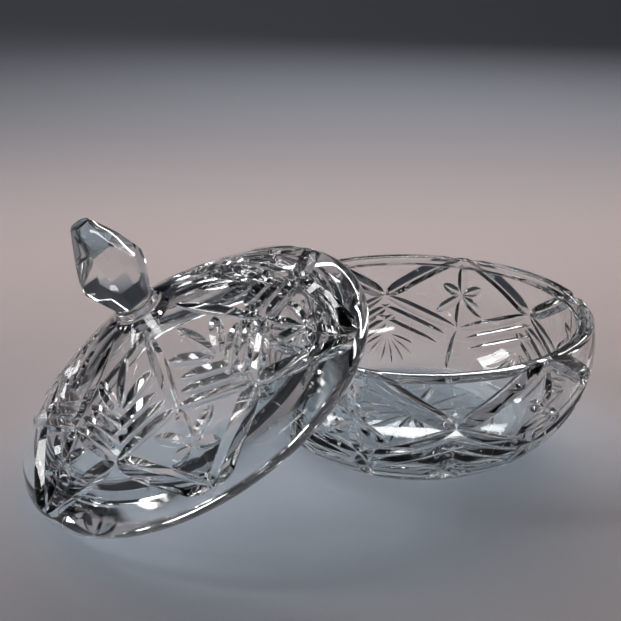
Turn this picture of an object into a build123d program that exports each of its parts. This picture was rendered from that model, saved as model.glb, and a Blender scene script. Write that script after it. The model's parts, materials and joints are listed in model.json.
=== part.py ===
from build123d import *
import os
from math import atan2, cos, degrees, hypot, radians, sin, sqrt

# A cut crystal candy dish, shown open: the bowl stands on the table, and its lid leans on it.
# The lid's edge is on the table, and the ring under the lid hangs on the bowl's rim.
# The origin is the centre of the bowl's foot, on the table. Millimetres and degrees.

# Bowl
rim_radius = 75.0
bowl_height = 58.0
foot_radius = 48.0
bowl_bulge = 11.0
bowl_wall = 7.5
floor_thickness = 9.0
floor_fillet = 14.0
rim_round = 2.0
foot_recess_radius = 37.0
foot_recess_depth = 1.4

# Lid
lid_radius = 77.0
shoulder_radius = 9.2
shoulder_height = 5.0
dome_slope = 30.0
lid_height = 45.5
crown_radius = 10.0
lid_wall = 6.0
lid_edge_round = 1.2
hollow_fillet = 7.0
ring_clearance = 1.8
ring_width = 5.0
ring_depth = 3.3
ring_taper = 1.5
ring_round = 0.8

# Knob
knob_length = 42.0
knob_radius = 12.1
collar_radius = 8.7
collar_height = 3.6
collar_round = 0.9

# How the lid leans: away from upright, towards this way round from +X, almost touching the bowl
lean_angle = 30.3
lean_towards = 204.7
lean_gap = 0.3
lean_gap_error = 0.01

# The cut pattern that bowl and lid share: repeats, and the sizes of each kind of cut
repeats = 6
bowl_turn = 7.4
lid_turn = 39.7
tip_land = 0.9
mitre_width = 8.2
mitre_depth = 3.4
leaf_width = 5.6
leaf_depth = 1.75
leaf_pitch = 4.9
leaf_count = 3
petal_width = 5.6
petal_depth = 1.6
spoke_width = 6.5
spoke_depth = 1.8

# How the leaves of a hatch start further round, reach further and close up, one after another
leaf_start_share = 0.054
leaf_reach_share = 0.05
leaf_close_share = 0.9

# The star's petals, from its middle: along the wall, and to the side
rim_petal = 16.7
high_petal = 5.3
high_petal_side = 10.2
low_petal_share = 0.56
low_petal_side = 12.6

# Places on the bowl, measured down its wall from the rim. The mitres run out through the rim.
bowl_mitre_run = -3.0
bowl_star_run = 19.6
bowl_cross_run = 21.2
bowl_waist_run = 37.1
bowl_hub_run = 41.3
bowl_spoke_end_run = 62.0

# Places on the lid, measured up its wall from the edge
lid_mitre_run = 9.3
lid_star_run = 28.3
lid_cross_run = 32.1
lid_waist_run = 43.8
lid_hub_run = 50.4
lid_spoke_end_run = 80.7

# The fans of rays between two spokes
hub_land = 1.5
ray_side_share = 0.82
bowl_rays = 7
bowl_ray_spread = 64.0
bowl_ray_length = 18.6
bowl_ray_width = 3.4
bowl_ray_depth = 1.1
lid_rays = 3
lid_ray_spread = 46.0
lid_ray_length = 22.4
lid_ray_width = 5.8
lid_ray_depth = 1.6

# The star under the foot
foot_star_rays = 12
foot_star_radius = 33.0
foot_star_hub = 3.0
foot_star_width = 4.0
foot_star_depth = 1.1

# The knob's facets, tier by tier: turn as a share of a side, then two places that the facet
# passes through, each a share of the height above the collar and a share of the knob's radius
knob_sides = 6
knob_facet_shares = [
    (0, 0, 0.59, 0.25, 0.93),
    (0.5, 0, 0.63, 0.3, 1.05),
    (0, 0.25, 0.97, 0.46, 1),
    (0.5, 0.42, 1.12, 0.76, 0.76),
    (0, 0.5, 0.98, 1, 0.3),
    (0.5, 0.74, 0.79, 1, 0.32),
]

# How far a cutting shape reaches past the glass, as a multiple of its own size
overrun_share = 1.7
flat_overrun_share = 1.12
step = 360 / repeats


class Arc:
    """A circle in the plane of radius and height."""

    def __init__(self, centre_r, centre_z, radius):
        self.r, self.z, self.radius = centre_r, centre_z, radius

    def radius_at(self, height):
        return self.r + sqrt(self.radius**2 - (height - self.z) ** 2)

    def height_at(self, radius):
        return self.z + sqrt(self.radius**2 - (radius - self.r) ** 2)

    def bearing(self, radius, height):
        return degrees(atan2(height - self.z, radius - self.r))

    def point(self, bearing):
        a = radians(bearing)
        return (self.r + self.radius * cos(a), self.z + self.radius * sin(a))

    def inside(self, wall):
        return Arc(self.r, self.z, self.radius - wall)


class Wall:
    """The outside of a turned piece: arcs one after another, from the rim."""

    def __init__(self, *spans):
        self.spans = spans

    def at(self, turn, run):
        """The place this far along the wall: its point, and the way out of the glass."""
        for arc, first, last in self.spans:
            length = radians(abs(last - first)) * arc.radius
            if run <= length or arc is self.spans[-1][0]:
                break
            run -= length
        bearing = first + (last - first) * run / length
        return self.place(arc, turn, bearing)

    def place(self, arc, turn, bearing):
        a, b = radians(turn), radians(bearing)
        r, z = arc.point(bearing)
        return Vector(r * cos(a), r * sin(a), z), Vector(cos(b) * cos(a), cos(b) * sin(a), sin(b))

    def beside(self, turn, run, side):
        """The place this far along the wall, and this far to the side."""
        point = self.at(turn, run)[0]
        return self.at(turn + degrees(side / hypot(point.X, point.Y)), run)

    def over_middle(self, a, b):
        """The place on the wall straight out from the middle of the line from a to b."""
        middle = (a[0] + b[0]) / 2
        out = (a[1] + b[1]).normalized()
        turn = degrees(atan2(middle.Y, middle.X))
        r, out_r = hypot(middle.X, middle.Y), hypot(out.X, out.Y)
        for arc, first, last in self.spans:
            dr, dz = r - arc.r, middle.Z - arc.z
            along = dr * out_r + dz * out.Z
            beside = dr**2 + dz**2 - along**2
            if beside < arc.radius**2:
                reach = sqrt(arc.radius**2 - beside) - along
                bearing = arc.bearing(r + out_r * reach, middle.Z + out.Z * reach)
                if (bearing - first) * (bearing - last) <= 0:
                    return self.place(arc, turn, bearing)
        raise ValueError("the cut's middle isn't over the wall")


def arc_with_bulge(a, b, bulge):
    """The arc from a to b that stands out to the right of their chord by bulge."""
    chord = hypot(b[0] - a[0], b[1] - a[1])
    radius = (chord**2 / 4 + bulge**2) / (2 * bulge)
    back = (bulge - radius) / chord
    return Arc(
        (a[0] + b[0]) / 2 + (b[1] - a[1]) * back,
        (a[1] + b[1]) / 2 + (a[0] - b[0]) * back,
        radius,
    )


bowl_arc = arc_with_bulge((foot_radius, 0), (rim_radius, bowl_height), bowl_bulge)
bowl_side = Wall(
    (
        bowl_arc,
        bowl_arc.bearing(rim_radius, bowl_height),
        bowl_arc.bearing(foot_radius, 0),
    )
)

# The shoulder's circle passes through the lid's edge, and the dome leaves it as a tangent
shoulder_inset = sqrt(shoulder_radius**2 - shoulder_height**2)
shoulder_arc = Arc(lid_radius - shoulder_inset, shoulder_height, shoulder_radius)
dome_bearing = 90 - dome_slope
dome_start = shoulder_arc.point(dome_bearing)
dome_run = (crown_radius - dome_start[0], lid_height - dome_start[1])
dome_drop = dome_run[0] * cos(radians(dome_bearing)) + dome_run[1] * sin(radians(dome_bearing))
dome_radius = -(dome_run[0] ** 2 + dome_run[1] ** 2) / (2 * dome_drop)
dome_arc = Arc(
    dome_start[0] - dome_radius * cos(radians(dome_bearing)),
    dome_start[1] - dome_radius * sin(radians(dome_bearing)),
    dome_radius,
)
lid_side = Wall(
    (shoulder_arc, shoulder_arc.bearing(lid_radius, 0), dome_bearing),
    (dome_arc, dome_bearing, dome_arc.bearing(crown_radius, lid_height)),
)


def cut(a, b, middle, width, depth, overrun=overrun_share):
    """A cut with flat sides from place a to place b, widest and deepest at the middle place."""
    along = (b[0] - a[0]).normalized()
    keel = middle[0] - middle[1] * depth
    aside = middle[1].cross(along).normalized() * (width / 2)
    tips = [a[0] + along * tip_land, b[0] - along * tip_land]
    sides = [middle[0] + aside, middle[0] - aside]
    far_a, far_b, left, right = [keel + (p - keel) * overrun for p in tips + sides]
    triangles = [
        (far_a, left, keel),
        (far_a, keel, right),
        (far_b, keel, left),
        (far_b, right, keel),
        (far_a, right, left),
        (far_b, left, right),
    ]
    return Solid(Shell([Face(Wire.make_polygon(corners)) for corners in triangles]))


def wall_cut(wall, a, b, width, depth):
    return cut(a, b, wall.over_middle(a, b), width, depth)


def mitres(wall, turn, first, cross):
    """The long grooves from the rim down to the crossings on both sides."""
    top = wall.at(turn, first)
    crosses = [wall.at(turn + side * step / 2, cross) for side in (-1, 1)]
    return [wall_cut(wall, top, end, mitre_width, mitre_depth) for end in crosses]


def star(wall, turn, middle, waist):
    """Six petals about a point: two along the wall and four aslant."""
    low = (waist - middle) * low_petal_share
    tips = [wall.at(turn, middle - rim_petal), wall.at(turn, waist)]
    for side in (-1, 1):
        tips.append(wall.beside(turn, middle - high_petal, side * high_petal_side))
        tips.append(wall.beside(turn, middle + low, side * low_petal_side))
    hub = wall.at(turn, middle)
    return [wall_cut(wall, hub, tip, petal_width, petal_depth) for tip in tips]


def hatch(wall, turn, waist, cross):
    """Leaves side by side from the waist towards the crossings, which cross the next repeat's."""
    leaves = []
    for side in (-1, 1):
        for k in range(leaf_count):
            start_turn = turn + side * step * leaf_start_share * k
            end_turn = turn + side * step * (1 / 2 + leaf_reach_share * k)
            a = wall.at(start_turn, waist + leaf_pitch * k)
            b = wall.at(end_turn, cross + leaf_pitch * leaf_close_share * k)
            leaves.append(wall_cut(wall, a, b, leaf_width, leaf_depth))
    return leaves


def fan(wall, turn, hub, count, spread, length, width, depth):
    """Rays that open out from under a crossing."""
    rays = []
    for k in range(count):
        share = 2 * k / (count - 1) - 1
        lean = radians(spread * share)
        reach = length * (1 - (1 - ray_side_share) * share**2)
        a = wall.beside(turn, hub + hub_land * cos(lean), hub_land * sin(lean))
        b = wall.beside(turn, hub + reach * cos(lean), reach * sin(lean))
        rays.append(wall_cut(wall, a, b, width, depth))
    return rays


def bowl_cuts():
    cuts = []
    for k in range(repeats):
        turn = bowl_turn + k * step
        waist = bowl_side.at(turn, bowl_waist_run)
        foot = bowl_side.at(turn, bowl_spoke_end_run)
        cuts += mitres(bowl_side, turn, bowl_mitre_run, bowl_cross_run)
        cuts += star(bowl_side, turn, bowl_star_run, bowl_waist_run)
        cuts += hatch(bowl_side, turn, bowl_waist_run, bowl_cross_run)
        cuts.append(wall_cut(bowl_side, waist, foot, spoke_width, spoke_depth))
        cuts += fan(
            bowl_side,
            turn + step / 2,
            bowl_hub_run,
            bowl_rays,
            bowl_ray_spread,
            bowl_ray_length,
            bowl_ray_width,
            bowl_ray_depth,
        )
    return cuts


def lid_cuts():
    cuts = []
    for k in range(repeats):
        turn = lid_turn + k * step
        waist = lid_side.at(turn, lid_waist_run)
        crown = lid_side.at(turn, lid_spoke_end_run)
        cuts += mitres(lid_side, turn, lid_mitre_run, lid_cross_run)
        cuts += star(lid_side, turn, lid_star_run, lid_waist_run)
        cuts += hatch(lid_side, turn, lid_waist_run, lid_cross_run)
        cuts.append(wall_cut(lid_side, waist, crown, spoke_width, spoke_depth))
        cuts += fan(
            lid_side,
            turn + step / 2,
            lid_hub_run,
            lid_rays,
            lid_ray_spread,
            lid_ray_length,
            lid_ray_width,
            lid_ray_depth,
        )
    return cuts


def foot_star():
    """Rays cut up into the recess under the foot."""
    rays = []
    down = Vector(0, 0, -1)
    for k in range(foot_star_rays):
        a = radians(bowl_turn + k * 360 / foot_star_rays)
        hub = Vector(foot_star_hub * cos(a), foot_star_hub * sin(a), foot_recess_depth)
        tip = Vector(foot_star_radius * cos(a), foot_star_radius * sin(a), foot_recess_depth)
        middle = ((hub + tip) / 2, down)
        ray = cut((hub, down), (tip, down), middle, foot_star_width, foot_star_depth, flat_overrun_share)
        rays.append(ray)
    return rays


def turned(outline, rounds):
    """A solid of revolution from its closed half outline, with the named corners rounded."""
    face = make_face(outline)
    for corner, radius in rounds:
        near = face.vertices().sort_by_distance(Vector(corner[0], corner[1]))[0]
        face = fillet(near, radius)
    return revolve(Plane.XZ * face, Axis.Z)


def spanned(arc, a, b):
    """The part of an arc from point a to point b."""
    middle = (arc.bearing(*a) + arc.bearing(*b)) / 2
    return ThreePointArc(a, arc.point(middle), b)


bowl_inside = bowl_arc.inside(bowl_wall)
mouth_radius = bowl_inside.radius_at(bowl_height)


def bowl_blank():
    """The bowl before it is cut: a turned wall on a flat foot with a recess under it."""
    rim, foot = (rim_radius, bowl_height), (foot_radius, 0)
    mouth = (mouth_radius, bowl_height)
    floor = (bowl_inside.radius_at(floor_thickness), floor_thickness)
    outline = [
        Line((foot_recess_radius, 0), foot),
        spanned(bowl_arc, foot, rim),
        Line(rim, mouth),
        spanned(bowl_inside, mouth, floor),
        Polyline(
            floor,
            (0, floor_thickness),
            (0, foot_recess_depth),
            (foot_recess_radius, foot_recess_depth),
            (foot_recess_radius, 0),
        ),
    ]
    return turned(outline, [(rim, rim_round), (mouth, rim_round), (floor, floor_fillet)])


def lid_blank():
    """The lid before it is cut, upright, with its seat at height zero and the ring below it."""
    ring_outside = mouth_radius - ring_clearance
    ring_inside = ring_outside - ring_width
    dome_inside = dome_arc.inside(lid_wall)
    edge, shoulder = (lid_radius, 0), dome_start
    crown, vault_top = (crown_radius, lid_height), (crown_radius, dome_inside.height_at(crown_radius))
    vault_foot = (ring_inside, dome_inside.height_at(ring_inside))
    ring_tip = (ring_outside - ring_taper, -ring_depth)
    ring_heel = (ring_inside, -ring_depth)
    outline = [
        Polyline(vault_top, (0, vault_top[1]), (0, lid_height), crown),
        spanned(dome_arc, crown, shoulder),
        spanned(shoulder_arc, shoulder, edge),
        Polyline(edge, (ring_outside, 0), ring_tip, ring_heel, vault_foot),
        spanned(dome_inside, vault_foot, vault_top),
    ]
    rounds = [
        (edge, lid_edge_round),
        (ring_tip, ring_round),
        (ring_heel, ring_round),
        (vault_foot, hollow_fillet),
    ]
    return turned(outline, rounds)


def make_knob():
    """The knob on its round collar, upright on the lid's crown, with flat facets all round."""
    height = knob_length - collar_height
    body = extrude(Plane.XY.offset(collar_height) * Circle(2 * knob_radius), height)
    for offset_share, low_share, low_radius_share, high_share, high_radius_share in knob_facet_shares:
        low = (low_radius_share * knob_radius, collar_height + low_share * height)
        high = (high_radius_share * knob_radius, collar_height + high_share * height)
        for k in range(knob_sides):
            a = radians((k + offset_share) * 360 / knob_sides)
            rise = high[1] - low[1]
            out = Vector(rise * cos(a), rise * sin(a), low[0] - high[0])
            facet = Plane((low[0] * cos(a), low[0] * sin(a), low[1]), z_dir=out)
            body = split(body, facet, Keep.BOTTOM)
    collar = extrude(Circle(collar_radius), collar_height)
    collar = fillet(collar.edges().filter_by(GeomType.CIRCLE), collar_round)
    return Pos(0, 0, lid_height) * (collar + body)


# The way the lid leans on the table, before it is pushed up to the bowl
edge_round_arc_reach = shoulder_radius - lid_edge_round
edge_round_r = shoulder_arc.r + sqrt(edge_round_arc_reach**2 - (shoulder_height - lid_edge_round) ** 2)
lean = radians(lean_angle)
lid_centre_height = edge_round_r * sin(lean) + lid_edge_round * (1 - cos(lean))


def leaning(piece, distance):
    """An upright piece of the lid, turned over to lean, this far from the bowl's middle."""
    towards = radians(lean_towards)
    tilted = piece.rotate(Axis((0, 0, 0), (-sin(towards), cos(towards), 0)), lean_angle)
    place = (distance * cos(towards), distance * sin(towards), lid_centre_height)
    return Pos(*place) * tilted


def lean_distance():
    """Push the lid towards the bowl until only the gap is left between the ring and the rim."""
    rim_middle_height = bowl_height - rim_round
    rim_middle_radius = bowl_arc.inside(rim_round).radius_at(rim_middle_height)
    rim_middle = Edge.make_circle(rim_middle_radius, Plane.XY.offset(rim_middle_height))
    heel_radius = mouth_radius - ring_clearance - ring_width + ring_round
    heel_middle = Edge.make_circle(heel_radius, Plane.XY.offset(ring_round - ring_depth))
    distance = lid_radius + rim_radius
    gap = distance
    while gap - lean_gap > lean_gap_error:
        between = leaning(heel_middle, distance).distance_to(rim_middle)
        gap = between - rim_round - ring_round
        distance -= gap - lean_gap
    return distance


distance = lean_distance()
print(f"the lid leans {distance:.2f} mm from the bowl's middle, {lid_centre_height:.2f} mm up")

nodes = {
    "bowl": bowl_blank() - bowl_cuts() - foot_star(),
    "lid": leaning(lid_blank() - lid_cuts(), distance),
    "lid_knob": leaning(make_knob(), distance),
}
os.makedirs("parts", exist_ok=True)
for name, piece in nodes.items():
    export_step(piece, f"parts/{name}.step")
    print(name, len(piece.solids()), "solid", round(piece.volume), "mm3", len(piece.faces()), "faces")
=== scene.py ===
# %% [markdown]
# # A cut crystal candy dish
# A covered candy dish starts as a thick blank of lead crystal, blown or pressed. A cutter then
# grinds the pattern into it on turning wheels, and it is polished until it is clear again.
#
# We go the same way. A lathe gives us the blanks, and swept cutters take the pattern out of them.
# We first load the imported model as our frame. Every piece is built in the same place as the
# solids there, in millimetres, and brought down to metres when it becomes an object.

# %% Load the frame
import bpy
import bmesh
import json
from math import atan2, cos, degrees, hypot, pi, radians, sin, sqrt
from mathutils import Matrix, Vector

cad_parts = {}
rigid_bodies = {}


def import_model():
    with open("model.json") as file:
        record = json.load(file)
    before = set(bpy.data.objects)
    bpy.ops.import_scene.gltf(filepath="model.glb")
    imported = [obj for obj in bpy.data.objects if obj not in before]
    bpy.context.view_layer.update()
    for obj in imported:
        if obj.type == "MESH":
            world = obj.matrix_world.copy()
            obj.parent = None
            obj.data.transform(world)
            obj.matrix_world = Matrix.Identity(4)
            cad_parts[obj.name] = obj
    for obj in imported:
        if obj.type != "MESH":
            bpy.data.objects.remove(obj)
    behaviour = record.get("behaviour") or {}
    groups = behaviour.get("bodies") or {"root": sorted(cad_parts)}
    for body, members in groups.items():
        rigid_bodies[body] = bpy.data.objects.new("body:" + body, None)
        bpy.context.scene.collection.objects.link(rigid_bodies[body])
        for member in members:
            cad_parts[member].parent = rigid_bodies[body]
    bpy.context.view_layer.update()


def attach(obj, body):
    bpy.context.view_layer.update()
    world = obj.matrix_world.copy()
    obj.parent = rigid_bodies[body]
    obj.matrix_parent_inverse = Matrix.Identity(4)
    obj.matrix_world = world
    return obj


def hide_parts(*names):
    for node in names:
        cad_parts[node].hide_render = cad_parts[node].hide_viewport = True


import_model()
mm_per_metre = 1000

# %% [markdown]
# The glass is round, so a wall is a chain of arcs in the plane of radius and height. Each arc
# has a centre and a radius, and a bearing in degrees says where a point lies on it. A fillet
# is one more arc, and its centre lies where it just touches both of its neighbours. A curve
# drawn by hand would look as good, but arcs meet exactly, and the cuts can find them again.

# %% Arcs of a turned wall
class Arc:
    def __init__(self, r, z, radius):
        self.r, self.z, self.radius = r, z, radius

    def point(self, bearing):
        a = radians(bearing)
        return (self.r + self.radius * cos(a), self.z + self.radius * sin(a))

    def bearing(self, r, z):
        return degrees(atan2(z - self.z, r - self.r))

    def radius_at(self, z):
        return self.r + sqrt(self.radius**2 - (z - self.z) ** 2)

    def height_at(self, r):
        return self.z + sqrt(self.radius**2 - (r - self.r) ** 2)

    def grown(self, by):
        return Arc(self.r, self.z, self.radius + by)


def fillet_at_height(wall, z, radius, inside):
    """The fillet centred at this height, which touches the wall from inside or outside it."""
    return Arc(wall.grown(-radius if inside else radius).radius_at(z), z, radius)


print("an arc of 10 mm about the origin tops out at", round(Arc(0, 0, 10).point(90)[1], 1), "mm")

# %% [markdown]
# These are the sizes of the bowl. They are the same as in the part's source, because the frame
# and its looks have to agree: a low bowl on a flat ring foot, with a wall thick enough to cut.

# %% Sizes of the bowl
rim_radius, bowl_height, foot_radius = 75.0, 58.0, 48.0
bowl_bulge, bowl_wall = 11.0, 7.5
floor_thickness, floor_fillet, rim_round = 9.0, 14.0, 2.0
recess_radius, recess_depth = 37.0, 1.4

chord = hypot(rim_radius - foot_radius, bowl_height)
bowl_arc_radius = (chord**2 / 4 + bowl_bulge**2) / (2 * bowl_bulge)
back = (bowl_bulge - bowl_arc_radius) / chord
bowl_outside = Arc(
    (foot_radius + rim_radius) / 2 + bowl_height * back,
    bowl_height / 2 - (rim_radius - foot_radius) * back,
    bowl_arc_radius,
)
bowl_inside = bowl_outside.grown(-bowl_wall)
mouth_radius = bowl_inside.radius_at(bowl_height)
print(f"the bowl's wall is an arc of {bowl_arc_radius:.1f} mm")
print(f"its mouth is {2 * mouth_radius:.1f} mm wide")

# %% [markdown]
# The lid is a flat dome on a round shoulder. A ring under it drops into the bowl's mouth, so it
# can't slide off. The dome leaves the shoulder as a tangent, which fixes its radius.

# %% Sizes of the lid
lid_radius, shoulder_radius, shoulder_height = 77.0, 9.2, 5.0
dome_slope, lid_height, crown_radius, lid_wall = 30.0, 45.5, 10.0, 6.0
edge_round, hollow_fillet, ring_round = 1.2, 7.0, 0.8
ring_clearance, ring_width, ring_depth, ring_taper = 1.8, 5.0, 3.3, 1.5

shoulder = Arc(
    lid_radius - sqrt(shoulder_radius**2 - shoulder_height**2), shoulder_height, shoulder_radius
)
dome_bearing = 90 - dome_slope
dome_start = shoulder.point(dome_bearing)
run_r, run_z = crown_radius - dome_start[0], lid_height - dome_start[1]
dome_radius = -(run_r**2 + run_z**2) / (
    2 * (run_r * cos(radians(dome_bearing)) + run_z * sin(radians(dome_bearing)))
)
dome = Arc(
    dome_start[0] - dome_radius * cos(radians(dome_bearing)),
    dome_start[1] - dome_radius * sin(radians(dome_bearing)),
    dome_radius,
)
hollow = dome.grown(-lid_wall)
ring_outside = mouth_radius - ring_clearance
ring_inside = ring_outside - ring_width
print(f"the dome is an arc of {dome_radius:.0f} mm, the ring {2 * ring_outside:.1f} mm across")

# %% [markdown]
# The lid leans on the bowl as it was photographed: tipped over, with its edge on the table and
# its ring hanging on the rim. The same turn and move carry the knob, so both share one matrix.

# %% Where the lid leans
lean, towards = radians(30.3), radians(204.7)
lean_distance, lean_height = 100.94, 38.67
axle = Vector((-sin(towards), cos(towards), 0))
lean_place = Vector((lean_distance * cos(towards), lean_distance * sin(towards), lean_height))
leaning = Matrix.Translation(lean_place) @ Matrix.Rotation(lean, 4, axle)
upright = Matrix.Identity(4)
print(f"the lid leans by {degrees(lean):.1f} degrees, {lean_distance} mm from the bowl's middle")

# %% [markdown]
# To turn a piece we draw half of its section with vertices. Spinning a single vertex about an
# arc's centre draws that arc, and spinning the finished outline about the axis makes the body.
# A full spin is merged at its seam, and the points on the axis are merged into poles. A Screw
# modifier would turn the outline as well, but this way the mesh is done at once and can be cut.

# %% Tools for the lathe
lathe_steps, collar_steps = 240, 72
weld_mm = 0.001


def of_kind(geometry, kind):
    """Operators give back vertices, edges and faces in one list, and this picks out one kind."""
    return [part for part in geometry if isinstance(part, kind)]


def line_to(bm, last, r, z):
    new = bm.verts.new((r, 0, z))
    bm.edges.new((last, new))
    return new


def arc_to(bm, last, arc, bearing, steps):
    """Draw on from the last vertex, which lies on the arc, round to this bearing."""
    turned = radians(bearing - arc.bearing(last.co.x, last.co.z))
    spun = bmesh.ops.spin(
        bm, geom=[last], cent=(arc.r, 0, arc.z), axis=(0, 1, 0), angle=-turned, steps=steps
    )
    return of_kind(spun["geom_last"], bmesh.types.BMVert)[0]


def turn_on_lathe(bm, steps):
    """Spin the outline about the axis into a closed body, with its faces outwards."""
    bmesh.ops.spin(
        bm,
        geom=list(bm.edges),
        cent=(0, 0, 0),
        axis=(0, 0, 1),
        angle=2 * pi,
        steps=steps,
        use_merge=True,
    )
    bmesh.ops.remove_doubles(bm, verts=bm.verts, dist=weld_mm)
    bmesh.ops.recalc_face_normals(bm, faces=bm.faces)


def report_shape(name, bm):
    print(f"{name}: {len(bm.faces)} faces, {bm.calc_volume():.0f} mm3")


print("each step of the lathe turns a piece by", 360 / lathe_steps, "degrees")

# %% [markdown]
# The bowl's blank has a rounded rim, because sharp glass chips, and a soft well inside. Under
# it the foot is a flat ring round a shallow recess, so that it stands without rocking.
#
# It could be a solid with its inside taken out, but one closed outline gives wall, floor and
# foot in a single spin. Glass bends light by its curvature, and a coarse arc would show in it
# as stripes. So the big arcs get many more steps than the small rounds.

# %% Turn the bowl's blank
bowl_side_steps, bowl_inside_steps, well_steps = 54, 30, 12
round_steps, small_round_steps = 8, 5


def bowl_blank():
    bm = bmesh.new()
    rim = fillet_at_height(bowl_outside, bowl_height - rim_round, rim_round, True)
    lip = fillet_at_height(bowl_inside, bowl_height - rim_round, rim_round, False)
    well = fillet_at_height(bowl_inside, floor_thickness + floor_fillet, floor_fillet, True)
    v = bm.verts.new((0, 0, recess_depth))
    v = line_to(bm, v, recess_radius - recess_depth, recess_depth)
    v = line_to(bm, v, recess_radius, 0)
    v = line_to(bm, v, foot_radius, 0)
    v = arc_to(bm, v, bowl_outside, bowl_outside.bearing(rim.r, rim.z), bowl_side_steps)
    v = arc_to(bm, v, rim, 90, round_steps)
    v = line_to(bm, v, lip.r, bowl_height)
    v = arc_to(bm, v, lip, lip.bearing(bowl_inside.r, bowl_inside.z), round_steps)
    v = arc_to(bm, v, bowl_inside, bowl_inside.bearing(well.r, well.z), bowl_inside_steps)
    v = arc_to(bm, v, well, -90, well_steps)
    v = line_to(bm, v, 0, floor_thickness)
    turn_on_lathe(bm, lathe_steps)
    return bm


bowl_body = bowl_blank()
report_shape("the bowl's blank", bowl_body)

# %% [markdown]
# The lid's blank goes from its crown out over dome and shoulder to the flat seat, down and up
# around the ring, and back to the axis under the hollow of the dome. Its wall is even, as in
# blown glass, and a fillet joins the ring to the hollow, since glass has no sharp inner corner.

# %% Turn the lid's blank
dome_steps, shoulder_steps, hollow_steps, vault_steps = 50, 18, 40, 10


def lid_blank():
    bm = bmesh.new()
    edge = fillet_at_height(shoulder, edge_round, edge_round, True)
    vault = Arc(ring_inside - hollow_fillet, 0, hollow_fillet)
    vault.z = hollow.grown(-hollow_fillet).height_at(vault.r)
    tip = Arc(ring_outside - ring_taper - ring_round, ring_round - ring_depth, ring_round)
    heel = Arc(ring_inside + ring_round, ring_round - ring_depth, ring_round)
    hollow_end = hollow.bearing(crown_radius, hollow.height_at(crown_radius))
    v = bm.verts.new((0, 0, lid_height))
    v = line_to(bm, v, crown_radius, lid_height)
    v = arc_to(bm, v, dome, dome_bearing, dome_steps)
    v = arc_to(bm, v, shoulder, shoulder.bearing(edge.r, edge.z), shoulder_steps)
    v = arc_to(bm, v, edge, -90, round_steps)
    v = line_to(bm, v, ring_outside, 0)
    v = line_to(bm, v, *tip.point(0))
    v = arc_to(bm, v, tip, -90, small_round_steps)
    v = line_to(bm, v, heel.r, -ring_depth)
    v = arc_to(bm, v, heel, -180, small_round_steps)
    v = line_to(bm, v, ring_inside, vault.z)
    v = arc_to(bm, v, vault, hollow.bearing(vault.r, vault.z), vault_steps)
    v = arc_to(bm, v, hollow, hollow_end, hollow_steps)
    v = line_to(bm, v, 0, v.co.z)
    turn_on_lathe(bm, lathe_steps)
    return bm


lid_body = lid_blank()
report_shape("the lid's blank", lid_body)

# %% [markdown]
# A place on the glass is found as a cutter would mark it out: this far round, and this far along
# the wall from the edge. Beside the place itself we need the way straight out of the glass.
# A cut between two places runs straight, so its middle is pushed out to the curved wall.

# %% Places on a wall
lift_rounds = 12
bowl_wall_spans = [
    (
        bowl_outside,
        bowl_outside.bearing(rim_radius, bowl_height),
        bowl_outside.bearing(foot_radius, 0),
    )
]
lid_wall_spans = [
    (shoulder, shoulder.bearing(lid_radius, 0), dome_bearing),
    (dome, dome_bearing, dome.bearing(crown_radius, lid_height)),
]


def wall_place(spans, turn, run):
    """The point this far round and along the wall, and its outward direction."""
    for arc, first, last in spans:
        length = radians(abs(last - first)) * arc.radius
        if run <= length or arc is spans[-1][0]:
            break
        run -= length
    a, bearing = radians(turn), first + (last - first) * run / length
    r, z = arc.point(bearing)
    b = radians(bearing)
    return Vector((r * cos(a), r * sin(a), z)), Vector((cos(b) * cos(a), cos(b) * sin(a), sin(b)))


def beside(spans, turn, run, side):
    """The place that lies this many millimetres to one side."""
    point = wall_place(spans, turn, run)[0]
    return wall_place(spans, turn + degrees(side / hypot(point.x, point.y)), run)


def lift_to_wall(spans, point, out):
    """Push a point outwards until it lies on the wall."""
    for _ in range(lift_rounds):
        r = hypot(point.x, point.y)
        gaps = [arc.radius - hypot(r - arc.r, point.z - arc.z) for arc, _, _ in spans]
        in_dome = len(spans) > 1 and r < dome_start[0]
        point = point + out * gaps[-1 if in_dome else 0]
    return point


for piece_name, spans in (("bowl", bowl_wall_spans), ("lid", lid_wall_spans)):
    wall_length = sum(radians(abs(last - first)) * arc.radius for arc, first, last in spans)
    print(f"the {piece_name}'s wall is {wall_length:.0f} mm long")

# %% [markdown]
# A mitre wheel has a V edge. It is set down at one end of the groove, drawn along and lifted at
# the other, so the groove keeps its depth for most of its way and runs out to a point at both
# ends. Polish takes the sharp line off the bottom of the V, so that is drawn a little round.
#
# A plain wedge would be simpler, but on a round wall it would bite too deep in its middle. So
# we extrude a V section step by step along the wall. It overruns the ends of the groove above
# the glass, where it takes nothing away, because surfaces that just meet cut badly.

# %% Sweep one wheel cut
tip_land = 0.35
cut_steps = 18
cutter_stands_out = 1.2
overrun = 1.16
keel_round_share = 0.16
keel_bottom = 0.55
keel_section = ((1, 1.05), (0.5, 0.66))


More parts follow.
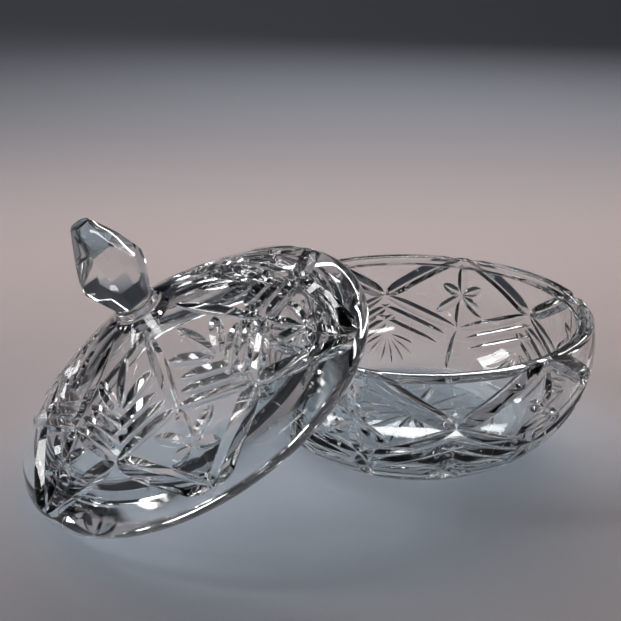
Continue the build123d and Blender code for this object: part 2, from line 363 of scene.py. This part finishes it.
def wheel_cut(spans, start, end, width, depth, fullness):
    """A closed cutter for one groove between two places, on a flat where spans is None."""
    (a, out_a), (b, out_b) = start, end
    along = (b - a).normalized()
    a, b = a + along * tip_land, b - along * tip_land
    k = keel_round_share
    rise = depth + cutter_stands_out
    bottom = rise * k * keel_bottom
    spread = rise * width / 2 / (depth + bottom)
    section = [(spread, rise)] + [(spread * k * x, rise * k * y) for x, y in keel_section]
    section += [(0, bottom)] + [(-x, y) for x, y in reversed(section)]

    def corners(t):
        """The section's corners at t, where the groove's ends are at -1 and 1."""
        out = out_a.lerp(out_b, (t + 1) / 2)
        out = (out - along * out.dot(along)).normalized()
        point = a.lerp(b, (t + 1) / 2)
        surface = lift_to_wall(spans, point, out) if spans else point
        keel = surface - out * (depth * (1 - abs(t) ** fullness) + bottom)
        side = along.cross(out)
        return [keel + side * x + out * y for x, y in section]

    bm = bmesh.new()
    verts = [bm.verts.new(c) for c in corners(-overrun)]
    face = bm.faces.new(verts)
    for step_number in range(1, cut_steps + 1):
        t = sin((step_number / cut_steps - 0.5) * pi) * overrun
        last, new = face, bmesh.ops.extrude_face_region(bm, geom=[face])["geom"]
        face = of_kind(new, bmesh.types.BMFace)[0]
        if step_number > 1 and last.is_valid:
            bmesh.ops.delete(bm, geom=[last], context="FACES_ONLY")
        for vert, place in zip([loop.vert for loop in face.loops], corners(t)):
            vert.co = place
    bmesh.ops.recalc_face_normals(bm, faces=bm.faces)
    return bm


print(f"a cutter has {cut_steps} steps and a section of {2 * len(keel_section) + 3} corners")

# %% [markdown]
# The pattern is a traditional one, repeated six times around. Long mitres zigzag between the rim
# and the crossings. Between them stands a star of six petals, under it leaves from both sides
# cross in a hatch, and a fan of rays or a palmette opens out below each crossing. Bowl and lid
# share one layout: only how far each part of it lies from the edge differs.

# %% Sizes of the cuts
# Each cut has a width, a depth and a figure for how long it keeps that depth. Places are in
# millimetres along the wall from its edge, turns and spreads in degrees.
repeats, step = 6, 60.0
mitre, leaf = (8.0, 3.6, 8.0), (5.5, 1.9, 3.6)
petal, spoke = (5.5, 1.75, 3.0), (6.5, 2.0, 3.0)
high_petal_reach, side_petal_rise, side_petal_reach = 16.7, 5.3, 10.2
low_petal_share, low_petal_reach = 0.56, 12.6
leaf_pitch, leaf_count = 4.9, 3
leaf_start_share, leaf_reach_share, leaf_close_share = 0.054, 0.05, 0.9
ray_hub, ray_side_loss = 1.5, 0.18
bowl_pattern = dict(
    turn=7.4, mitre=-3.0, star=19.6, cross=21.2, waist=37.1, hub=41.3, spoke_end=62.0,
    rays=7, spread=64.0, ray_length=18.6, ray=(3.4, 1.1, 2.7),
)
lid_pattern = dict(
    turn=39.7, mitre=9.3, star=28.3, cross=32.1, waist=43.8, hub=50.4, spoke_end=80.7,
    rays=3, spread=46.0, ray_length=22.4, ray=(5.8, 1.6, 3.2),
)
print(len(bowl_pattern), "measures lay out the bowl's cuts, and as many the lid's")

# %% [markdown]
# A cutter marks the blank into equal parts before the first cut. We do the same: one function
# lays out a single repeat, and the whole pattern is that repeat turned on again and again.
# Turned copies of one repeat would look the same, but laying each out anew takes no more code.

# %% Lay out one repeat of the pattern
def one_repeat(spans, p, turn):
    """The cutters of one repeat, as bmeshes."""
    cuts = []
    waist = wall_place(spans, turn, p["waist"])
    star = wall_place(spans, turn, p["star"])
    low = (p["waist"] - p["star"]) * low_petal_share
    cuts.append((waist, wall_place(spans, turn, p["spoke_end"]), spoke))
    cuts.append((star, wall_place(spans, turn, p["star"] - high_petal_reach), petal))
    cuts.append((star, waist, petal))
    for side in (-1, 1):
        crossing = wall_place(spans, turn + side * step / 2, p["cross"])
        cuts.append((wall_place(spans, turn, p["mitre"]), crossing, mitre))
        high_tip = beside(spans, turn, p["star"] - side_petal_rise, side * side_petal_reach)
        cuts.append((star, high_tip, petal))
        cuts.append((star, beside(spans, turn, p["star"] + low, side * low_petal_reach), petal))
        for k in range(leaf_count):
            start_turn = turn + side * step * leaf_start_share * k
            end_turn = turn + side * step * (0.5 + leaf_reach_share * k)
            a = wall_place(spans, start_turn, p["waist"] + leaf_pitch * k)
            b = wall_place(spans, end_turn, p["cross"] + leaf_pitch * leaf_close_share * k)
            cuts.append((a, b, leaf))
    for k in range(p["rays"]):
        share = 2 * k / (p["rays"] - 1) - 1
        angle = radians(p["spread"] * share)
        reach = p["ray_length"] * (1 - ray_side_loss * share**2)
        ends = [
            beside(spans, turn + step / 2, p["hub"] + far * cos(angle), far * sin(angle))
            for far in (ray_hub, reach)
        ]
        cuts.append((*ends, p["ray"]))
    return [wheel_cut(spans, a, b, *size) for a, b, size in cuts]


def pattern(spans, p):
    return [cut for k in range(repeats) for cut in one_repeat(spans, p, p["turn"] + k * step)]


print(f"the pattern comes round every {step:.0f} degrees, {repeats} times")

# %% [markdown]
# Taking the cuts out of the blank is a boolean difference. All cutters of a piece go into one
# collection, so one modifier can take them all, also where they cross. The manifold solver asks
# for closed shapes, which all of ours are, and it is quick.

# %% Cut a blank
def mesh_object(bm, name):
    mesh = bpy.data.meshes.new(name)
    bm.to_mesh(mesh)
    bm.free()
    piece = bpy.data.objects.new(name, mesh)
    bpy.context.scene.collection.objects.link(piece)
    return piece


def combine(body, shapes, operation, name):
    """The body with every one of the shapes taken out of it or joined to it, as a new bmesh."""
    piece = mesh_object(body, name)
    others = bpy.data.collections.new("shapes")
    bpy.context.scene.collection.children.link(others)
    for k, shape in enumerate(shapes):
        other = mesh_object(shape, f"shape_{k}")
        bpy.context.scene.collection.objects.unlink(other)
        others.objects.link(other)
    work = piece.modifiers.new("work", "BOOLEAN")
    work.operation, work.solver = operation, "MANIFOLD"
    work.operand_type, work.collection = "COLLECTION", others
    bpy.context.view_layer.update()
    result = bmesh.new()
    result.from_object(piece, bpy.context.evaluated_depsgraph_get())
    for other in list(others.objects):
        bpy.data.objects.remove(other)
    bpy.data.collections.remove(others)
    bpy.data.objects.remove(piece)
    report_shape(f"{name}, {operation.lower()} with {len(shapes)} shapes", result)
    return result


# %% [markdown]
# Under the bowl the foot is ground flat, around a shallow recess that carries a plain cut star.
# The photograph doesn't show it, but most such dishes have one, and it glitters through the
# bowl's floor.

# %% Cut the bowl
foot_star_rays, foot_star_hub, foot_star_radius = 12, 3.0, 33.0
foot_star_cut = (4.0, 1.1, 2.7)


def foot_star():
    down = Vector((0, 0, -1))
    cuts = []
    for k in range(foot_star_rays):
        a = radians(bowl_pattern["turn"] + k * 360 / foot_star_rays)
        hub = Vector((foot_star_hub * cos(a), foot_star_hub * sin(a), recess_depth))
        tip = Vector((foot_star_radius * cos(a), foot_star_radius * sin(a), recess_depth))
        cuts.append(wheel_cut(None, (hub, down), (tip, down), *foot_star_cut))
    return cuts


bowl_cuts = pattern(bowl_wall_spans, bowl_pattern) + foot_star()
bowl_glass = combine(bowl_body, bowl_cuts, "DIFFERENCE", "bowl_glass")

# %% [markdown]
# The knob is ground flat by flat from a blank. Each facet is one bisecting plane that clears the
# glass outside it, and the hole it leaves is filled. We could also move the rings of a six sided
# cone by hand, but its faces would soon stop being flat. Flat ones flash all at once, as here.
#
# The tiers are turned by half a facet against each other, so their edges meet in points, as on a
# cut stone. Two heights and two distances from the axis say how each tier slopes, as shares of
# the knob's size.

# %% Grind the knob's facets
knob_length, knob_radius = 42.0, 12.1
collar_radius, collar_height, collar_round = 8.7, 3.6, 0.9
knob_sides, knob_blank_sides = 6, 24
fused_depth = 1.0
facet_edge, facet_weld, facet_plane_gap, flat_enough = 0.12, 0.01, 0.0001, radians(4)
# Each tier: its turn as a share of a facet, then its low height and radius and its high ones
facet_shares = [
    (0, 0, 0.59, 0.25, 0.93),
    (0.5, 0, 0.63, 0.3, 1.05),
    (0, 0.25, 0.97, 0.46, 1),
    (0.5, 0.42, 1.12, 0.76, 0.76),
    (0, 0.5, 0.98, 1, 0.3),
    (0.5, 0.74, 0.79, 1, 0.32),
]


def grind_facet(bm, place, outwards):
    """Take off the glass outside this plane and fill the flat that is left."""
    cut = bmesh.ops.bisect_plane(
        bm,
        geom=bm.verts[:] + bm.edges[:] + bm.faces[:],
        dist=facet_plane_gap,
        plane_co=place,
        plane_no=outwards,
        clear_outer=True,
    )
    loop = of_kind(cut["geom_cut"], bmesh.types.BMEdge)
    if loop:
        bmesh.ops.edgeloop_fill(bm, edges=loop)


def ground_knob():
    bm = bmesh.new()
    body = knob_length - collar_height
    bmesh.ops.create_cone(
        bm,
        cap_ends=True,
        segments=knob_blank_sides,
        radius1=2 * knob_radius,
        radius2=2 * knob_radius,
        depth=body + fused_depth,
    )
    middle = collar_height + (body - fused_depth) / 2
    bmesh.ops.translate(bm, verts=bm.verts, vec=(0, 0, middle))
    for offset, low, low_radius, high, high_radius in facet_shares:
        for k in range(knob_sides):
            a = radians((k + offset) * 360 / knob_sides)
            r, z = low_radius * knob_radius, collar_height + low * body
            rise, run = (high - low) * body, (low_radius - high_radius) * knob_radius
            outwards = (rise * cos(a), rise * sin(a), run)
            grind_facet(bm, (r * cos(a), r * sin(a), z), outwards)
    bmesh.ops.remove_doubles(bm, verts=bm.verts, dist=facet_weld)
    bmesh.ops.recalc_face_normals(bm, faces=bm.faces)
    edges = [e for e in bm.edges if e.is_manifold and e.calc_face_angle() > flat_enough]
    bmesh.ops.bevel(
        bm,
        geom=edges,
        offset=facet_edge,
        affect="EDGES",
        segments=2,
        profile=0.5,
        material=-1,
    )
    bmesh.ops.translate(bm, verts=bm.verts, vec=(0, 0, lid_height))
    return bm


knob = ground_knob()
report_shape("the knob", knob)

# %% [markdown]
# Knob and lid are made apart and fused while hot, which leaves a round collar between them. It
# is turned like the rest, and reaches a little into the lid, so that the two can be joined.

# %% Turn the knob's collar
def turned_collar():
    bm = bmesh.new()
    low = Arc(collar_radius - collar_round, lid_height + collar_round, collar_round)
    high = Arc(low.r, lid_height + collar_height - collar_round, collar_round)
    v = bm.verts.new((0, 0, lid_height - fused_depth))
    v = line_to(bm, v, low.r, lid_height - fused_depth)
    v = line_to(bm, v, low.r, lid_height)
    v = arc_to(bm, v, low, 0, small_round_steps)
    v = line_to(bm, v, collar_radius, high.z)
    v = arc_to(bm, v, high, 90, small_round_steps)
    v = line_to(bm, v, 0, lid_height + collar_height)
    turn_on_lathe(bm, collar_steps)
    return bm


collar = turned_collar()
report_shape("the collar", collar)

# %% [markdown]
# A join inside clear glass would show as a mirror. So lid, collar and knob become one closed
# surface, which stands for both nodes of the frame. They ride on the same body in any case.

# %% Cut the lid and fuse the knob to it
lid_cuts = pattern(lid_wall_spans, lid_pattern)
lid_cut = combine(lid_body, lid_cuts, "DIFFERENCE", "lid_cut")
lid_glass = combine(lid_cut, [collar, knob], "UNION", "lid_glass")

# %% [markdown]
# A material is a small tree of nodes. We could click it together in the editor, but a script
# rebuilds it alike each time. One function adds a node and links it. Another turns the hex
# colours that people read into the linear light that Blender works in.

# %% Small tools for materials
def linear(hex_colour):
    """An sRGB hex colour as linear light, with alpha."""
    parts = [int(hex_colour[k : k + 2], 16) / 255 for k in (1, 3, 5)]
    light = [c / 12.92 if c <= 0.04045 else ((c + 0.055) / 1.055) ** 2.4 for c in parts]
    return (*light, 1.0)


def add(tree, kind, settings=None, **links):
    """Add a node: settings name its properties or its inputs, and links name inputs to connect."""
    node = tree.nodes.new(kind)
    for key, value in (settings or {}).items():
        if key in node.inputs:
            node.inputs[key].default_value = value
        else:
            setattr(node, key, value)
    for key, source in links.items():
        tree.links.new(source, node.inputs[key.replace("_", " ")])
    return node


def empty_material(name):
    material = bpy.data.materials.new(name)
    material.use_nodes = True
    material.node_tree.nodes.clear()
    return material, material.node_tree


print("a mid grey of #808080 is", round(linear("#808080")[0], 3), "of the light")

# %% [markdown]
# A dish in use gets hairline scratches, which break up the too clean reflections of new glass.
# Real ones are far too fine for this picture, so ours are drawn as coarse as they need to be to
# show at all.
#
# A painted map of scratches would need the glass laid out flat. Instead we take the edges of
# large cells, bend them with one noise and let a second noise keep only some stretches.

# %% Hairline scratches
bend_mm, bend_reach = 100 / 3, 0.02
scratch_cell_mm = 16.0
patch_mm, patch_start, patch_full = 50 / 3, 0.5, 0.62


def scratches(tree, place, width_mm):
    """How much of a scratch there is at a place, from 0 to 1."""
    bent = add(
        tree, "ShaderNodeTexNoise", {"Scale": mm_per_metre / bend_mm, "Detail": 1.0}, Vector=place
    )
    pushed = add(
        tree,
        "ShaderNodeVectorMath",
        {"operation": "SCALE", "Scale": bend_reach},
        Vector=bent.outputs["Color"],
    )
    swung = add(tree, "ShaderNodeVectorMath", {"operation": "ADD"})
    tree.links.new(place, swung.inputs[0])
    tree.links.new(pushed.outputs[0], swung.inputs[1])
    cells = add(
        tree,
        "ShaderNodeTexVoronoi",
        {"feature": "DISTANCE_TO_EDGE", "Scale": mm_per_metre / scratch_cell_mm},
        Vector=swung.outputs[0],
    )
    line = add(
        tree,
        "ShaderNodeMapRange",
        {"From Max": width_mm / scratch_cell_mm, "To Min": 1.0, "To Max": 0.0},
        Value=cells.outputs["Distance"],
    )
    patches = add(
        tree, "ShaderNodeTexNoise", {"Scale": mm_per_metre / patch_mm, "Detail": 2.0}, Vector=place
    )
    some = add(
        tree,
        "ShaderNodeMapRange",
        {"From Min": patch_start, "From Max": patch_full},
        Value=patches.outputs["Fac"],
    )
    scratch = add(tree, "ShaderNodeMath", {"operation": "MULTIPLY"})
    tree.links.new(line.outputs[0], scratch.inputs[0])
    tree.links.new(some.outputs[0], scratch.inputs[1])
    return scratch.outputs[0]


print(f"scratches follow cells of about {scratch_cell_mm:.0f} mm")

# %% [markdown]
# Lead crystal is clear and heavy, and bends light more than window glass does: its index of
# refraction is about 1.55. A plain clear material would look like plastic. Three things help.
#
# - Polish leaves the surface a little wavy, so reflections in it swim.
# - Every cut edge is slightly round and catches a thin bright line. The bevel shader draws it.
# - Light passes through it to the table. To lamps it is mostly clear, or it would throw the
#   solid shadow of a stone.

# %% Lead crystal
glass_index, scratch_roughness = 1.55, 0.45
glass_in_shadow = "#C6CCCF"


def crystal(name, body_colour, roughness, wave_mm, wave_height_mm, edge_mm, scratch_mm):
    material, tree = empty_material(name)
    place = add(tree, "ShaderNodeTexCoord").outputs["Object"]
    waves = add(
        tree,
        "ShaderNodeTexNoise",
        {"Scale": mm_per_metre / wave_mm, "Detail": 2.0, "Roughness": 0.4},
        Vector=place,
    )
    worn = add(
        tree,
        "ShaderNodeMapRange",
        {"To Min": roughness, "To Max": max(roughness, scratch_roughness)},
        Value=scratches(tree, place, scratch_mm),
    )
    edges = add(tree, "ShaderNodeBevel", {"samples": 4, "Radius": edge_mm / mm_per_metre})
    polish = add(
        tree,
        "ShaderNodeBump",
        {"Strength": 1.0, "Distance": wave_height_mm / mm_per_metre},
        Height=waves.outputs["Fac"],
        Normal=edges.outputs[0],
    )
    glass = add(
        tree,
        "ShaderNodeBsdfPrincipled",
        {"Base Color": linear(body_colour), "IOR": glass_index, "Transmission Weight": 1.0},
        Normal=polish.outputs["Normal"],
        Roughness=worn.outputs[0],
    )
    rays = add(tree, "ShaderNodeLightPath")
    clear = add(tree, "ShaderNodeBsdfTransparent", {"Color": linear(glass_in_shadow)})
    both = add(tree, "ShaderNodeMixShader")
    tree.links.new(rays.outputs["Is Shadow Ray"], both.inputs[0])
    tree.links.new(glass.outputs[0], both.inputs[1])
    tree.links.new(clear.outputs[0], both.inputs[2])
    add(tree, "ShaderNodeOutputMaterial", Surface=both.outputs[0])
    return material


# Polished lead crystal: clear, with swimming reflections and a thin bright line on each edge
polished = crystal(
    "polished_lead_crystal",
    body_colour="#FBFDFD",
    roughness=0.0,
    wave_mm=9.0,
    wave_height_mm=0.012,
    edge_mm=0.7,
    scratch_mm=0.12,
)
# Ground lead crystal: the frosted grey of the foot ring, which is left unpolished to stand on.
# Its grain is drawn at 0.6 mm, much coarser than the grit that grinds it, so that it shows.
ground = crystal(
    "ground_lead_crystal",
    body_colour="#F4F6F6",
    roughness=0.32,
    wave_mm=0.6,
    wave_height_mm=0.02,
    edge_mm=0.2,
    scratch_mm=0.12,
)
print("materials:", polished.name, "and", ground.name)

# %% [markdown]
# A cut edge must stay sharp while the turned wall beside it stays round. So all faces are shaded
# smooth, and the edges that turn by more than some twenty degrees are marked sharp. Where cuts
# cross, the difference leaves a few slivers thinner than a hair, and these are closed up.

# %% Make the finished pieces
sharp_angle = radians(24)
sliver_mm = 0.006
# Only the foot ring looks straight down at the table's height, and it is left ground
table_gap, facing_down = 0.00001, -0.999


def finish_piece(bm, name, matrix, body, *nodes):
    bmesh.ops.dissolve_degenerate(bm, dist=sliver_mm, edges=bm.edges)
    bmesh.ops.triangulate(bm, faces=[f for f in bm.faces if len(f.verts) > 4])
    bmesh.ops.dissolve_degenerate(bm, dist=sliver_mm, edges=bm.edges)
    to_metres = Matrix.Scale(1 / mm_per_metre, 4)
    bmesh.ops.transform(bm, verts=bm.verts, matrix=to_metres @ matrix)
    for face in bm.faces:
        face.smooth = True
        low = all(v.co.z < table_gap for v in face.verts)
        face.material_index = 1 if face.normal.z < facing_down and low else 0
    piece = mesh_object(bm, name)
    piece.data.materials.append(polished)
    piece.data.materials.append(ground)
    piece.data.set_sharp_from_angle(angle=sharp_angle)
    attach(piece, body)
    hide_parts(*nodes)
    print(name, len(piece.data.polygons), "faces")


finish_piece(bowl_glass, "crystal_bowl", upright, "bowl", "bowl")
finish_piece(lid_glass, "crystal_lid", leaning, "lid", "lid", "lid_knob")

# %% [markdown]
# The stage is a plain pale floor that sweeps up behind the dish, in one sheet of board. A floor
# and a wall would leave a corner between them, which the glass would bend into a dark line. The
# board lies a hair below the foot's ground ring. If the two faces lay in one plane, the ring
# would come out black.

# %% Floor and backdrop
board_half_width, board_front, board_top = 3, -2, 3.0
bend_start, bend_radius, bend_steps = 1.1, 0.9, 24
board_drop = 0.00015


def stage_material(name, colour, roughness, sheen):
    material, tree = empty_material(name)
    board = add(
        tree,
        "ShaderNodeBsdfPrincipled",
        {"Base Color": linear(colour), "Roughness": roughness, "Specular IOR Level": sheen},
    )
    add(tree, "ShaderNodeOutputMaterial", Surface=board.outputs[0])
    return material


def sweep():
    """The board, drawn from the side and extruded across."""
    bm = bmesh.new()
    front = bm.verts.new((-board_half_width, board_front, -board_drop))
    foot = bm.verts.new((-board_half_width, bend_start, -board_drop))
    bm.edges.new((front, foot))
    spun = bmesh.ops.spin(
        bm,
        geom=[foot],
        cent=(-board_half_width, bend_start, bend_radius),
        axis=(1, 0, 0),
        angle=pi / 2,
        steps=bend_steps,
    )
    bend_top = of_kind(spun["geom_last"], bmesh.types.BMVert)[0]
    end = bm.verts.new((-board_half_width, bend_top.co.y, board_top))
    bm.edges.new((bend_top, end))
    out = bmesh.ops.extrude_edge_only(bm, edges=bm.edges[:])
    far_side = of_kind(out["geom"], bmesh.types.BMVert)
    bmesh.ops.translate(bm, verts=far_side, vec=(2 * board_half_width, 0, 0))
    bmesh.ops.recalc_face_normals(bm, faces=bm.faces)
    for face in bm.faces:
        face.smooth = True
    return bm


board = mesh_object(sweep(), "board_sweep")
# Matt painted board: an even, cool, pale surface that leaves all the contrast to the glass
pale_board = stage_material("pale_board", "#B7BDC8", roughness=0.55, sheen=0.25)
board.data.materials.append(pale_board)
print(board.name, len(board.data.polygons), "faces")

# %% [markdown]
# Clear glass shows only what it bends and mirrors. Soft lamps around it draw bright lines along
# the cuts, and the dim room between them gives the dark lines that set these off.
#
# A lamp strong enough for the glass would flood the board. So the side and front strips don't
# light the board, and the warm wash behind the dish lights the board and isn't seen by the
# glass, which it would tint.

# %% Lamps
dish_middle = (0, 0, 0.04)


def softbox(name, place, size, power, target=dish_middle, colour="#FFFFFF"):
    """A rectangular lamp aimed at its target, with place and size in metres and power in watts."""
    light = bpy.data.lights.new(name, "AREA")
    light.shape, light.size, light.size_y = "RECTANGLE", size[0], size[1]
    light.energy, light.color = power, linear(colour)[:3]
    lamp = bpy.data.objects.new(name, light)
    bpy.context.scene.collection.objects.link(lamp)
    lamp.location = place
    lamp.rotation_euler = (Vector(target) - Vector(place)).to_track_quat("-Z", "Y").to_euler()
    return lamp


softbox("key_softbox", (-0.9, 0.1, 0.9), size=(0.22, 0.5), power=3.8)
side_strip = softbox("side_strip", (0.9, 0.3, 0.5), size=(0.09, 0.8), power=4.0)
front_strip = softbox("front_strip", (0.5, -0.9, 0.9), size=(0.5, 0.08), power=1.6)
side_strip.visible_diffuse = front_strip.visible_diffuse = False
softbox("back_strip", (0.15, 0.85, 0.5), size=(0.8, 0.05), power=1.8)
back_wash = softbox(
    "back_softbox",
    (0.0, 0.3, 0.36),
    size=(1.1, 0.12),
    power=1.8,
    target=(0, 0.16, 0.0),
    colour="#FFD2B8",
)
back_wash.visible_glossy = back_wash.visible_transmission = False

room_colour, room_strength = "#8C9098", 0.08
world = bpy.data.worlds.new("studio")
bpy.context.scene.world = world
world.use_nodes = True
room = world.node_tree.nodes["Background"].inputs
room["Color"].default_value = linear(room_colour)
room["Strength"].default_value = room_strength
bpy.context.scene.view_settings.view_transform = "Standard"
print(len(bpy.data.lights), "lamps")

# %% [markdown]
# The camera stands where the photograph was taken from: about half a metre off, looking down by
# some twenty degrees. Its place was fitted to the outlines of both pieces and the pattern on them.
# The photograph doesn't settle the lens, so a middling one was chosen that fits well.

# %% Camera
sensor_mm, focal_pixels, picture_pixels = 36.0, 1243, 621
camera_pitch = 0.365
camera_data = bpy.data.cameras.new("camera")
camera_data.sensor_width = sensor_mm
camera_data.lens = sensor_mm * focal_pixels / picture_pixels
camera = bpy.data.objects.new("camera", camera_data)
bpy.context.scene.collection.objects.link(camera)
camera.location = (-0.0460, -0.5024, 0.2488)
camera.rotation_euler = (pi / 2 - camera_pitch, 0, 0)
bpy.context.scene.camera = camera
print(f"a lens of {camera_data.lens:.0f} mm")
